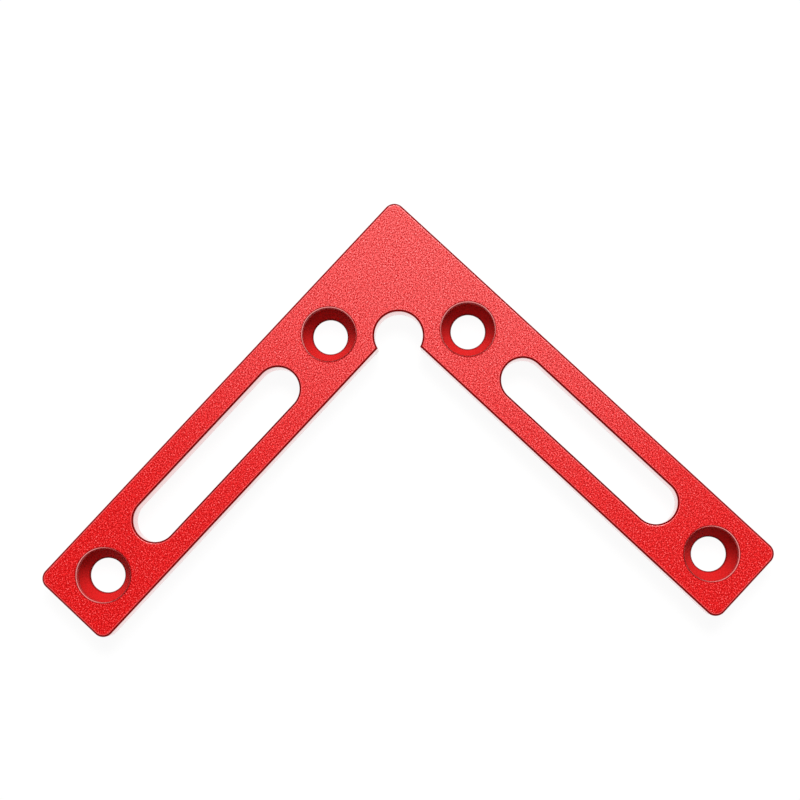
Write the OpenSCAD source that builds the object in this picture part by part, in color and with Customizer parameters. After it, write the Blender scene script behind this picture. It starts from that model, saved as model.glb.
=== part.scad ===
// A corner clamping square: one L-shaped plate, milled from solid aluminium, that holds two
// boards at a right angle while they are clamped. Each arm has a long slot for a clamp between
// two screw holes whose heads sit below the face, and a round relief clears the inner corner.
// Seen from above, the heel is the outer corner and the toes are the ends of the arms.

/* [Plate] */
// Length of each arm along its outer face, from the heel to the toe
arm_length = 120; // [112:1:200]
// Width of each arm, from its outer face to its inner face
arm_width = 21; // [17:0.5:30]
// Thickness of the plate
plate_thickness = 8; // [6:0.5:16]
// Radius of the upright outer corner at the heel
heel_radius = 2.6; // [1:0.1:8]
// Radius of the two upright corners at each toe
toe_radius = 2.6; // [1:0.1:8]
// Width of the 45 degree break along every edge of the outline, the slots and the relief
edge_break = 0.4; // [0.1:0.05:1]

/* [Clamp slots] */
// Width of each slot
slot_width = 10; // [6:0.5:14]
// Distance between the centres of a slot's two round ends
slot_travel = 41.3; // [10:0.1:48]

/* [Screw holes] */
// Diameter of the bore that the screw's shank passes through
bore_diameter = 8; // [4:0.1:10]
// Diameter of the recess that the screw's head sinks into
recess_diameter = 12.4; // [10:0.1:16]
// Depth of the recess's straight wall, from the upper face to the start of the cone
recess_depth = 3.4; // [0.5:0.1:4.5]
// Length of the straight bore between the cone's foot and the broken lower rim
bore_land = 0.4; // [0.2:0.1:3]
// Width of the 45 degree break along the recess's rim
rim_break = 0.2; // [0.05:0.05:0.4]
// Distance from the heel's outer face to the hole nearer the heel
near_hole = 33.2; // [30:0.1:42]
// Distance from the toe's end face to the hole nearer the toe
toe_hole = 11; // [8:0.5:20]

/* [Corner relief] */
// Diameter of the round relief in the inner corner
relief_diameter = 11.2; // [7:0.1:16]
// Distance from each inner face out to the relief's axis
relief_setback = 1.5; // [0:0.05:3]

/* [Hidden] */
// Smoothness of round shapes
$fn = 96;
// How far a cutting shape runs past the face that it opens
run_past = 1;
// Distance from an arm's outer face to the line that its slot and its holes stand on
arm_middle = arm_width / 2;
// Distance from the heel's outer face to the hole nearer the toe
far_hole = arm_length - toe_hole;
// Distance from the heel's outer face to the middle of the slot, halfway between the holes
slot_middle = (near_hole + far_hole) / 2;
// Radii of the round cuts
bore_radius = bore_diameter / 2;
recess_radius = recess_diameter / 2;
slot_radius = slot_width / 2;
relief_radius = relief_diameter / 2;
// Heights of the two ends of the cone above the lower face
cone_top = plate_thickness - recess_depth;
cone_bottom = edge_break + bore_land;
// Distance from the heel's outer faces to the relief's axis
relief_place = arm_width + relief_setback;

// Half of the section through a round upright body of the given radius, with both rims broken.
function disc_section(radius) = [
    [0, 0],
    [radius - edge_break, 0],
    [radius, edge_break],
    [radius, plate_thickness - edge_break],
    [radius - edge_break, plate_thickness],
    [0, plate_thickness]
];

// Half of the section through a round opening of the given radius, flared at both faces.
function opening_section(radius) = [
    [0, -run_past],
    [radius + edge_break + run_past, -run_past],
    [radius, edge_break],
    [radius, plate_thickness - edge_break],
    [radius + edge_break + run_past, plate_thickness + run_past],
    [0, plate_thickness + run_past]
];

// Half of the section through a screw hole: broken lower rim, bore, cone, recess and upper rim.
function hole_section() = [
    [0, -run_past],
    [bore_radius + edge_break + run_past, -run_past],
    [bore_radius, edge_break],
    [bore_radius, cone_bottom],
    [recess_radius, cone_top],
    [recess_radius, plate_thickness - rim_break],
    [recess_radius + rim_break + run_past, plate_thickness + run_past],
    [0, plate_thickness + run_past]
];

// Carries a section, drawn as across and up, along +X for the given length.
module along_x(length)
    rotate([90, 0, 90])
        linear_extrude(length)
            children();

// A straight bar along +X with its outer face at Y = 0 and its four long edges broken.
module broken_bar(length, width)
    along_x(length)
        polygon([
            [0, edge_break],
            [edge_break, 0],
            [width - edge_break, 0],
            [width, edge_break],
            [width, plate_thickness - edge_break],
            [width - edge_break, plate_thickness],
            [edge_break, plate_thickness],
            [0, plate_thickness - edge_break]
        ]);

// An upright round corner of the outline, with both rims broken.
module broken_corner(radius)
    rotate_extrude()
        polygon(disc_section(radius));

// The space of a round opening through the plate.
module round_opening(radius)
    rotate_extrude()
        polygon(opening_section(radius));

// The space of a clamp slot along +X, centred on the origin.
module slot_space() {
    half_travel = slot_travel / 2;
    for (side = [-1, 1])
        translate([side * half_travel, 0, 0])
            round_opening(slot_radius);
    translate([-half_travel, 0, 0])
        along_x(slot_travel)
            for (flip = [0, 1])
                mirror([flip, 0])
                    polygon(opening_section(slot_radius));
}

// The space of a screw hole, with its head recess at the upper face.
module screw_space()
    rotate_extrude()
        polygon(hole_section());

// One arm along +X from the heel, before its cuts: the long bar, the toe's end and three corners.
module arm_body() {
    translate([heel_radius, heel_radius, 0])
        broken_corner(heel_radius);
    translate([heel_radius, 0, 0])
        broken_bar(arm_length - heel_radius - toe_radius, arm_width);
    translate([arm_length, toe_radius, 0])
        rotate([0, 0, 90])
            broken_bar(arm_width - 2 * toe_radius, 2 * toe_radius);
    for (across = [toe_radius, arm_width - toe_radius])
        translate([arm_length - toe_radius, across, 0])
            broken_corner(toe_radius);
}

// The cuts of one arm along +X: a screw hole at each end of the slot.
module arm_cuts() {
    for (place = [near_hole, far_hole])
        translate([place, arm_middle, 0])
            screw_space();
    translate([slot_middle, arm_middle, 0])
        slot_space();
}

// Repeats a shape of the arm along +X as the matching shape of the arm along +Y.
module both_arms() {
    children();
    mirror([1, -1, 0])
        children();
}

// The whole plate, standing on its lower face and centred on its square outline.
module square_plate()
    color("#d8282c")
        translate([-arm_length / 2, -arm_length / 2, 0])
            difference() {
                both_arms()
                    arm_body();
                both_arms()
                    arm_cuts();
                translate([relief_place, relief_place, 0])
                    round_opening(relief_radius);
            }

square_plate();
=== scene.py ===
import bpy
import numpy as np
from mathutils import Matrix, Vector
from mathutils.geometry import delaunay_2d_cdt


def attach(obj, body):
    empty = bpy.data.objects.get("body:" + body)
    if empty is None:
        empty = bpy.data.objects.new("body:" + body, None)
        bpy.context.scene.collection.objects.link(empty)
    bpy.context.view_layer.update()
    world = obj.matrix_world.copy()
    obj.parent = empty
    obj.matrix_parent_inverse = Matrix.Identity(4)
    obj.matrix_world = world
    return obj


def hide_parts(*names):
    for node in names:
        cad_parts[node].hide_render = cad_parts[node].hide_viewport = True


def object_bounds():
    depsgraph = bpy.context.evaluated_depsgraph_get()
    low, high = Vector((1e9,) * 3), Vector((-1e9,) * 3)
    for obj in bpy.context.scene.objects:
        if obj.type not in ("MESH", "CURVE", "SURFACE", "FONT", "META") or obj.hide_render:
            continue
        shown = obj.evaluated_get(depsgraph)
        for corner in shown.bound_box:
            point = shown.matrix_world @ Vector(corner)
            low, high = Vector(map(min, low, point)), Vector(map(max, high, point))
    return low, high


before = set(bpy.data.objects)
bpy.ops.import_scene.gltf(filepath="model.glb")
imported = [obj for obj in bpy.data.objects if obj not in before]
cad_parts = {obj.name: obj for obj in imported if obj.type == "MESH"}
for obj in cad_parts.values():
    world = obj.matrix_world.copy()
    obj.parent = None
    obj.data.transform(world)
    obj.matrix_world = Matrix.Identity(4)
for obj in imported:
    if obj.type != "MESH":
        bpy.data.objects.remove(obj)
cad_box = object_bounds()


# The plate is one L of aluminium, milled from solid, with its edges broken by a chamfer tool. It is
# bead-blasted, which softens the edges and leaves a fine grain. The screw holes are recessed and
# coned after that, so their rims stay crisp, and the plate is dyed red as it is anodised.

# Sizes are in millimetres, and places are from the middle of the square that the two arms span.
millimetre = 0.001
half_span = round(cad_box[1][0] / millimetre, 3)
plate_thickness = round(cad_box[1][2] / millimetre, 3)
arm_width = 21.0
heel_radius = 2.6
toe_radius = 2.6
edge_break = 0.4
relief_radius = 5.6
relief_setback = 1.5
slot_radius = 5.0
slot_half_travel = 20.65
near_hole = 33.2
toe_hole = 11.0
bore_radius = 4.0
bore_land = 0.4
recess_radius = 6.2
recess_depth = 3.4
rim_break = 0.2
arm_middle = arm_width / 2 - half_span
hole_places = (near_hole - half_span, half_span - toe_hole)
slot_middle = sum(hole_places) / 2
recess_floor = plate_thickness - recess_depth
cone_foot = edge_break + bore_land
cone_run = (recess_radius - bore_radius) / (recess_floor - cone_foot)
# How far from an edge the blast and the cutter leave it blunt, and the points across that curve
blast_reach = 0.11
cut_reach = 0.04
blunt_steps = 7
# Width of the flat rim that the mesh keeps beside every edge of the two faces
flat_border = 0.25
# The painted shade at a cone's foot: how far it shows, and where the cone's mesh is divided above it
lip_reach = 0.16
lip_height = 0.8
# Points along each curve and each straight face
heel_points = 13
toe_points = 21
relief_points = 61
face_points = 40
slot_end_points = 61
slot_side_points = 16
hole_points = 160


def softened(corners, reach):
    """A polyline with each inner corner blunted: from `reach` before the corner C, at A, to `reach`
    after it, at B, runs the parabola (1-t)^2 A + 2t(1-t) C + t^2 B."""
    corners = np.asarray(corners, float)
    here = corners[1:-1]
    before = corners[:-2] - here
    after = corners[2:] - here
    start = here + reach * before / np.linalg.norm(before, axis=1, keepdims=True)
    end = here + reach * after / np.linalg.norm(after, axis=1, keepdims=True)
    t = np.linspace(0, 1, blunt_steps)[None, :, None]
    blunt = (1 - t) ** 2 * start[:, None] + 2 * t * (1 - t) * here[:, None] + t ** 2 * end[:, None]
    return np.vstack([corners[:1], blunt.reshape(-1, 2), corners[-1:]])


def arc(centre, radius, start, end, count):
    """Points at equal angles from start to end, in degrees: the centre plus the radius times the
    angle's cosine and sine, for a column of radii. The angles may themselves be columns, so that an
    arc is trimmed differently at every radius."""
    share = np.linspace(0, 1, count)[None, :]
    turn = np.radians(start + (end - start) * share)
    return np.stack([centre[0] + radius * np.cos(turn), centre[1] + radius * np.sin(turn)], -1)


def outline(insets):
    """The plate's outline moved into the metal by each inset, counter-clockwise from the heel.
    Outer corners lose the inset from their radius, the relief gains it, and the relief's arc is
    trimmed where it crosses the inner faces, also moved in, so the rings meet in a clean mitre."""
    inset = np.asarray(insets, float)[:, None]
    heel = heel_radius - half_span
    toe = half_span - toe_radius
    inner = arm_width - half_span
    toe_low = toe_radius - half_span
    toe_high = inner - toe_radius
    relief = inner + relief_setback
    wide = relief_radius + inset
    mouth = np.degrees(np.arcsin((relief_setback + inset) / wide))
    mouth_end = relief + wide * np.cos(np.radians(mouth))
    share = np.linspace(0, 1, face_points)[None, 1:-1]
    outer_face = np.stack([heel + (toe - heel) * share + 0 * inset, inset - half_span + 0 * share], -1)
    inner_face = np.stack([toe + (mouth_end - toe) * share, inner - inset + 0 * share], -1)
    one_arm = np.concatenate([
        arc((heel, heel), heel_radius - inset, 225, 270, heel_points),
        outer_face,
        arc((toe, toe_low), toe_radius - inset, 270, 360, toe_points),
        arc((toe, toe_high), toe_radius - inset, 0, 90, toe_points),
        inner_face,
        arc((relief, relief), wide, -mouth, -135, relief_points),
    ], 1)
    other_arm = one_arm[:, -2:0:-1, ::-1]
    return np.concatenate([one_arm, other_arm], 1)


def slot(insets):
    """A slot along X: two half circles and the straight sides between them, grown into the metal
    by each inset, clockwise so that the metal lies on the same side as for the outline."""
    wide = slot_radius + np.asarray(insets, float)[:, None]
    share = np.linspace(0, 1, slot_side_points)[None, 1:-1]
    along = slot_middle + slot_half_travel * (1 - 2 * share)
    far_end = arc((slot_middle + slot_half_travel, arm_middle), wide, 90, -90, slot_end_points)
    near_end = arc((slot_middle - slot_half_travel, arm_middle), wide, -90, -270, slot_end_points)
    lower = np.stack([along + 0 * wide, arm_middle - wide + 0 * along], -1)
    upper = np.stack([along[:, ::-1] + 0 * wide, arm_middle + wide + 0 * along], -1)
    return np.concatenate([far_end, lower, near_end, upper], 1)


def hole(place):
    """A screw hole's circle round its own axis, clockwise, for each radius."""
    def circle(radii):
        radius = np.asarray(radii, float)[:, None]
        return arc((place, arm_middle), radius, 0, -360, hole_points + 1)[:, :-1]
    return circle


def mirrored(loop):
    """The matching loop of the other arm: X and Y change places, and the order is turned round."""
    return lambda insets: loop(insets)[:, ::-1, ::-1]


# Sections from the upper face to the lower one, as inset or radius and height
top = plate_thickness
foot = 0.0
broken_edge = softened([
    [edge_break + flat_border, top],
    [edge_break, top],
    [0, top - edge_break],
    [0, foot + edge_break],
    [edge_break, foot],
    [edge_break + flat_border, foot],
], blast_reach)
hole_wall = softened([
    [recess_radius + rim_break + flat_border, top],
    [recess_radius + rim_break, top],
    [recess_radius, top - rim_break],
    [recess_radius, recess_floor],
    [bore_radius + lip_height * cone_run, cone_foot + lip_height],
    [bore_radius, cone_foot],
    [bore_radius, foot + edge_break],
    [bore_radius + edge_break, foot],
    [bore_radius + edge_break + flat_border, foot],
], cut_reach)
loops = [(outline, broken_edge), (slot, broken_edge), (mirrored(slot), broken_edge)]
for place in hole_places:
    loops += [(hole(place), hole_wall), (mirrored(hole(place)), hole_wall)]


def skin(number):
    """Quads from each ring of point numbers to the next one, closed round the ring."""
    ahead = np.roll(number, -1, 1)
    return np.stack([number[:-1], number[1:], ahead[1:], ahead[:-1]], -1).reshape(-1, 4)


# Every ring of points carries marks for the finish: how steep the wall is there, whether it lies in a
# recess or cone, beside a rim (+1 at a blasted edge, -1 at a screw hole), at a cone's lip, or on the
# burnished break of a recess's rim. The rim and lip marks carry painted highlight and painted shade.
marks = {"slope": [], "coned": [], "rim": [], "lip": [], "burnish": []}
points = []
quads = []
top_rims = []
foot_rims = []
count = 0
for loop, profile in loops:
    flat = loop(profile[:, 0])
    rings, around = flat.shape[:2]
    level = profile[:, 1]
    height = np.broadcast_to(level[:, None, None], (rings, around, 1))
    points.append(np.concatenate([flat, height], -1).reshape(-1, 3))
    number = count + np.arange(rings * around).reshape(rings, around)
    count += rings * around
    quads.append(skin(number))
    top_rims.append(number[0])
    foot_rims.append(number[-1])
    run, drop = np.gradient(profile, axis=0).T
    ring = np.arange(rings)
    from_face = np.minimum(ring, rings - 1 - ring)
    is_hole = profile is hole_wall
    ring_marks = {
        "slope": np.abs(drop) / np.hypot(run, drop),
        "coned": is_hole & (level > cone_foot) & (level < top - 2 * rim_break),
        "rim": (-1.0 if is_hole else 1.0) * ((from_face > 0) & (from_face < blunt_steps)),
        "lip": is_hole & (np.abs(level - cone_foot) < lip_reach),
        "burnish": is_hole & (ring > blunt_steps - 2) & (ring < blunt_steps + 3),
    }
    for name, amount in ring_marks.items():
        marks[name].append(np.repeat(amount, around))
points = np.concatenate(points)


def inside(spots, ring):
    """Even-odd test: counts how often a ray along +X from each spot crosses the closed ring."""
    from_x, from_y = ring.T[:, None]
    to_x, to_y = np.roll(ring, -1, 0).T[:, None]
    x = spots[:, 0:1]
    y = spots[:, 1:2]
    spans = (from_y > y) != (to_y > y)
    with np.errstate(divide="ignore", invalid="ignore"):
        cross = from_x + (y - from_y) * (to_x - from_x) / (to_y - from_y)
    return (spans & (x < cross)).sum(1) % 2 == 1


def face_between(rims):
    """Triangles of a flat face from the outline's rim to the rims of its openings: a Delaunay fill
    of all the rims, less the triangles whose middle lies outside the outline or in an opening."""
    order = np.concatenate(rims)
    ends = np.cumsum([len(rim) for rim in rims])
    edges = []
    for end, rim in zip(ends, rims):
        along = np.arange(end - len(rim), end)
        edges += np.stack([along, np.roll(along, -1)], 1).tolist()
    flat = points[order, :2]
    triangles_inside_edges = 1
    merge_reach = 1e-6
    fill = delaunay_2d_cdt(flat.tolist(), edges, [], triangles_inside_edges, merge_reach)
    corners = np.array(fill[3])[:, 0][np.array(fill[2])]
    middle = flat[corners].mean(1)
    keep = inside(middle, flat[:ends[0]])
    for end, rim in zip(ends[1:], rims[1:]):
        keep &= ~inside(middle, flat[end - len(rim):end])
    return order[corners[keep]]


def put_down(name, data):
    """A new object of the scene, at the origin, that holds the given mesh, lamp or camera."""
    thing = bpy.data.objects.new(name, data)
    bpy.context.scene.collection.objects.link(thing)
    return thing


upper_face = face_between(top_rims)
lower_face = face_between(foot_rims)[:, ::-1]
faces = np.concatenate(quads).tolist() + upper_face.tolist() + lower_face.tolist()
plate_mesh = bpy.data.meshes.new("red_plate")
plate_mesh.from_pydata((points * millimetre).tolist(), [], faces)
plate_mesh.shade_smooth()
for name, amounts in marks.items():
    layer = plate_mesh.attributes.new(name, "FLOAT", "POINT")
    layer.data.foreach_set("value", np.concatenate(amounts).astype(np.float32))
plate_mesh.update()
plate = put_down("red_plate", plate_mesh)


class Shade:
    """One output of a material's nodes. Sums, differences and products of such values add Math nodes;
    add() makes any other node from its type, its settings and what its sockets take."""

    def __init__(self, tree, socket=None):
        self.tree = tree
        self.socket = socket

    def add(self, kind, settings=None, out=0, **takes):
        """A new node's output. Sockets go by name, with _ for a space, or by number as n0, n1."""
        node = self.tree.nodes.new("ShaderNode" + kind)
        for name, value in (settings or {}).items():
            setattr(node, name, value)
        for name, value in takes.items():
            socket = node.inputs[int(name[1:]) if name[1:].isdigit() else name.replace("_", " ")]
            if isinstance(value, Shade):
                self.tree.links.new(value.socket, socket)
            else:
                socket.default_value = value
        return Shade(self.tree, node.outputs[out]) if node.outputs else None

    def math(self, operation, first, second):
        """A Math node of two values, of which one may be a plain number."""
        return self.add("Math", {"operation": operation}, n0=first, n1=second)

    def __add__(self, other):
        return self.math("ADD", self, other)

    def __radd__(self, other):
        return self.math("ADD", other, self)

    def __sub__(self, other):
        return self.math("SUBTRACT", self, other)

    def __rsub__(self, other):
        return self.math("SUBTRACT", other, self)

    def __mul__(self, other):
        return self.math("MULTIPLY", self, other)

    def __rmul__(self, other):
        return self.math("MULTIPLY", other, self)

    def blend(self, first, second):
        """The colour between two colours, at this value."""
        settings = {"data_type": "RGBA", "clamp_factor": True}
        return self.add("Mix", settings, out=2, n0=self, n6=first, n7=second)

    def within(self, low, high):
        """This value's place between low and high, from 0 to 1 and held there."""
        return self.add("MapRange", {"clamp": True}, Value=self, From_Min=low, From_Max=high)


def bare_material(name):
    """A new material without nodes, and the start from which its nodes are added."""
    material = bpy.data.materials.new(name)
    material.use_nodes = True
    material.node_tree.nodes.clear()
    return material, Shade(material.node_tree)


dark_dye = (0.48, 0.000, 0.001, 1)
bright_dye = (1.0, 0.007, 0.008, 1)
# Painted glints: pale pink specks that stand for light sparkling off the blast's peaks
painted_glint = (1.0, 0.26, 0.26, 1)
# Painted highlight: a pink line beside the blasted edges
painted_edge_highlight = (1.0, 0.16, 0.16, 1)
dark_cone = (0.42, 0.004, 0.004, 1)
bright_cone = (0.86, 0.026, 0.026, 1)
# The chamfers' own deeper red, darkened further as painted shade
cut_edge_dye_and_shade = (0.26, 0.001, 0.001, 1)
# Painted shade: a near-black ring at each cone's foot
painted_lip_shade = (0.06, 0.000, 0.001, 1)
# Painted shade: a dark ring on the blunted corner at each screw hole's rim
painted_rim_shade = (0.20, 0.000, 0.001, 1)
# The burnished rim break's pale pink, partly a painted highlight
burnished_dye_and_highlight = (1.0, 0.32, 0.31, 1)
# Grains, facets and clouds of the blast to a millimetre, mill marks across and up a wall, and the
# grain's depth in millimetres
grain_scale = 3.5
facet_scale = 3.2
cloud_scale = 0.11
mill_mark_scale = (2.2, 2.2, 0.09)
grain_depth = 0.05

red_anodised, start = bare_material("red_anodised")
spot = start.add("TexCoord", out="Object")
in_mm = start.add("VectorMath", {"operation": "SCALE"}, Vector=spot, Scale=1 / millimetre)
slope = start.add("Attribute", {"attribute_name": "slope"}, out="Fac")
coned = start.add("Attribute", {"attribute_name": "coned"}, out="Fac")
rim = start.add("Attribute", {"attribute_name": "rim"}, out="Fac")
lip = start.add("Attribute", {"attribute_name": "lip"}, out="Fac")
burnish = start.add("Attribute", {"attribute_name": "burnish"}, out="Fac")

# Where each finish lies: upright walls, broken edges, the painted highlight line beside them, the
# painted shade round a screw hole's rim, and the blasted faces, with a trace of their grain in the
# cones
wall = slope.within(0.90, 0.98) * (1 - coned)
broken = slope.within(0.2, 0.6) * (1 - wall) * (1 - coned)
edge_highlight = rim.within(0.0, 1.0) * (1 - slope.within(0.25, 0.5))
rim_shade = 1 - rim.within(-1.0, 0.0)
blasted = 1 - slope.within(0.05, 0.6) * (1 - coned * 0.15)

# The blast's grain and its slow unevenness, and the upright streaks that an end mill leaves
flat_pattern = {"noise_dimensions": "2D"}
grain = start.add("TexNoise", flat_pattern, Vector=in_mm, Scale=grain_scale, Detail=0.0)
flat_cells = {"voronoi_dimensions": "2D"}
facet = start.add("TexVoronoi", flat_cells, Vector=in_mm, Scale=facet_scale, Randomness=0.8)
cloud = start.add("TexNoise", Vector=in_mm, Scale=cloud_scale, Detail=3.0, Roughness=0.55)
upright = start.add("VectorMath", {"operation": "MULTIPLY"}, n0=in_mm, n1=mill_mark_scale)
streak = start.add("TexNoise", Vector=upright, Scale=1.0, Detail=3.0, Roughness=0.6) - 0.5
speckle = (grain - 0.5) * 2.6 + (facet - 0.42) * 1.6
bite = speckle * blasted

# The dye follows the grain from dark to bright, with painted glints on its peaks. It turns deeper red
# in the cones and on chamfers, where it is also painted shade, and carries painted highlight and shade
# at rims and lips.
tone = (0.5 + bite + (speckle * 0.10 + streak * 0.8) * wall + (cloud - 0.5) * 0.1).within(0.0, 1.0)
dye = tone.blend(dark_dye, bright_dye)
dye = bite.within(0.45, 1.9).blend(dye, painted_glint)
dye = (edge_highlight * 0.5).blend(dye, painted_edge_highlight)
dye = coned.blend(dye, tone.blend(dark_cone, bright_cone))
dye = broken.blend(dye, cut_edge_dye_and_shade)
dye = (lip * 0.9).blend(dye, painted_lip_shade)
dye = (rim_shade * 0.9).blend(dye, painted_rim_shade)
dye = burnish.blend(dye, burnished_dye_and_highlight)
matt = 0.60 - wall * 0.46 - broken * 0.40 - burnish * 0.10 + streak * wall * 0.18
metal = (0.08 + wall * 0.87 + broken * 0.50 + burnish * 0.4).within(0.0, 1.0)
seal = 0.62 + wall * 0.38 - broken * 0.75 - rim_shade + bite * 0.62
gloss = seal.within(0.0, 1.0) * (1 - coned)
grain_height = (grain * 0.6 + facet * 0.4 - 0.5) * (blasted + wall * 0.05) + streak * wall * 0.5
bump = start.add("Bump", Height=grain_height, Strength=0.4, Distance=grain_depth * millimetre)
finish = start.add("BsdfPrincipled", Base_Color=dye, Roughness=matt, Metallic=metal, Normal=bump,
                   Coat_Weight=gloss, Coat_Roughness=0.22, Coat_IOR=1.75, Specular_IOR_Level=0.03)
start.add("OutputMaterial", Surface=finish)
plate_mesh.materials.append(red_anodised)
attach(plate, "root")
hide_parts("square_plate")


# The floor is a plain white sheet that the plate lies on, swept up all round at its rim. To the
# camera, and to rays that are mirrored or pass through, it shows as white with the plate's soft
# shadow. To other rays it is a pale grey that scatters light.

flat_reach = 1.3
sweep_radius = 1.0
sweep_angle = np.radians(60)
sweep_rings = 13
sheet_points = 96


def swept_sheet(rings, around):
    """A disc whose rim runs up an arc: at the arc's angle a the sheet is flat_reach + R sin a from
    the middle and R (1 - cos a) high, carried once round the upright axis."""
    rise = np.linspace(0, sweep_angle, rings)[:, None]
    turn = np.linspace(0, 2 * np.pi, around, endpoint=False)[None]
    reach = flat_reach + sweep_radius * np.sin(rise)
    height = sweep_radius * (1 - np.cos(rise)) + 0 * turn
    return np.stack([reach * np.cos(turn), reach * np.sin(turn), height], -1)


sheet = swept_sheet(sweep_rings, sheet_points)
number = np.arange(sweep_rings * sheet_points).reshape(sweep_rings, sheet_points)
sheet_faces = [number[0].tolist()] + skin(number)[:, ::-1].tolist()
floor_mesh = bpy.data.meshes.new("floor")
floor_mesh.from_pydata(sheet.reshape(-1, 3).tolist(), [], sheet_faces)
floor = put_down("floor", floor_mesh)

white_sheet, start = bare_material("white_sheet")
seen = start.add("LightPath", out="Is Camera Ray")
mirror_ray = start.add("LightPath", out="Is Glossy Ray")
through_ray = start.add("LightPath", out="Is Transmission Ray")
direct = (seen + mirror_ray + through_ray).within(0.0, 1.0)
shaded = start.add("BsdfDiffuse", Color=(0.07, 0.07, 0.07, 1))
glow = start.add("Emission", Color=(1.0, 1.0, 1.0, 1), Strength=0.945)
scatter = start.add("BsdfDiffuse", Color=(0.40, 0.40, 0.40, 1))
lit = start.add("AddShader", n0=shaded, n1=glow)
start.add("OutputMaterial", Surface=start.add("MixShader", n0=direct, n1=scatter, n2=lit))
floor_mesh.materials.append(white_sheet)


# The light is a large soft box beyond the heel and a little to the right of it, a small lamp high
# over the heel that lays a sheen there, and a dim even room that fills the shadows.

room = bpy.data.worlds.new("room")
room.use_nodes = True
room_light = room.node_tree.nodes["Background"]
room_light.inputs["Color"].default_value = (1.0, 1.0, 1.0, 1)
room_light.inputs["Strength"].default_value = 0.05
bpy.context.scene.world = room
# Each lamp's stand and size in metres, and its power in watts
lamps = {
    "soft_box": ((-1.584, -1.187, 3.048), (2.00, 1.46), 154.0),
    "sheen_lamp": ((-0.165, -0.125, 0.600), (0.26, 0.26), 0.40),
}
for name, (stand, size, power) in lamps.items():
    light = bpy.data.lights.new(name, "AREA")
    light.shape = "RECTANGLE"
    light.size, light.size_y = size
    light.energy = power
    lamp = put_down(name, light)
    lamp.location = stand
    lamp.rotation_euler = (-lamp.location).to_track_quat("-Z", "Y").to_euler()


# The camera looks down on the plate from half a metre, with the heel at the top of the picture. It
# aims between the square's middle and the heel, and `lean` is the way on the floor that points up.

eye = Vector((-0.00837, 0.00859, 0.508))
aim = Vector((-0.02683, -0.02707, 0.008))
lean = np.radians(-137.01)
back = (eye - aim).normalized()
right = Vector((np.cos(lean), np.sin(lean), 0)).cross(back).normalized()
turned = Matrix((right, back.cross(right), back)).transposed().to_4x4()
camera_data = bpy.data.cameras.new("camera")
camera_data.lens = 98.16
camera_data.sensor_width = 36.0
camera_data.clip_start = 0.01
camera_data.clip_end = 10.0
camera = put_down("camera", camera_data)
camera.matrix_world = Matrix.Translation(eye) @ turned
bpy.context.scene.camera = camera
bpy.context.scene.view_settings.view_transform = "Standard"
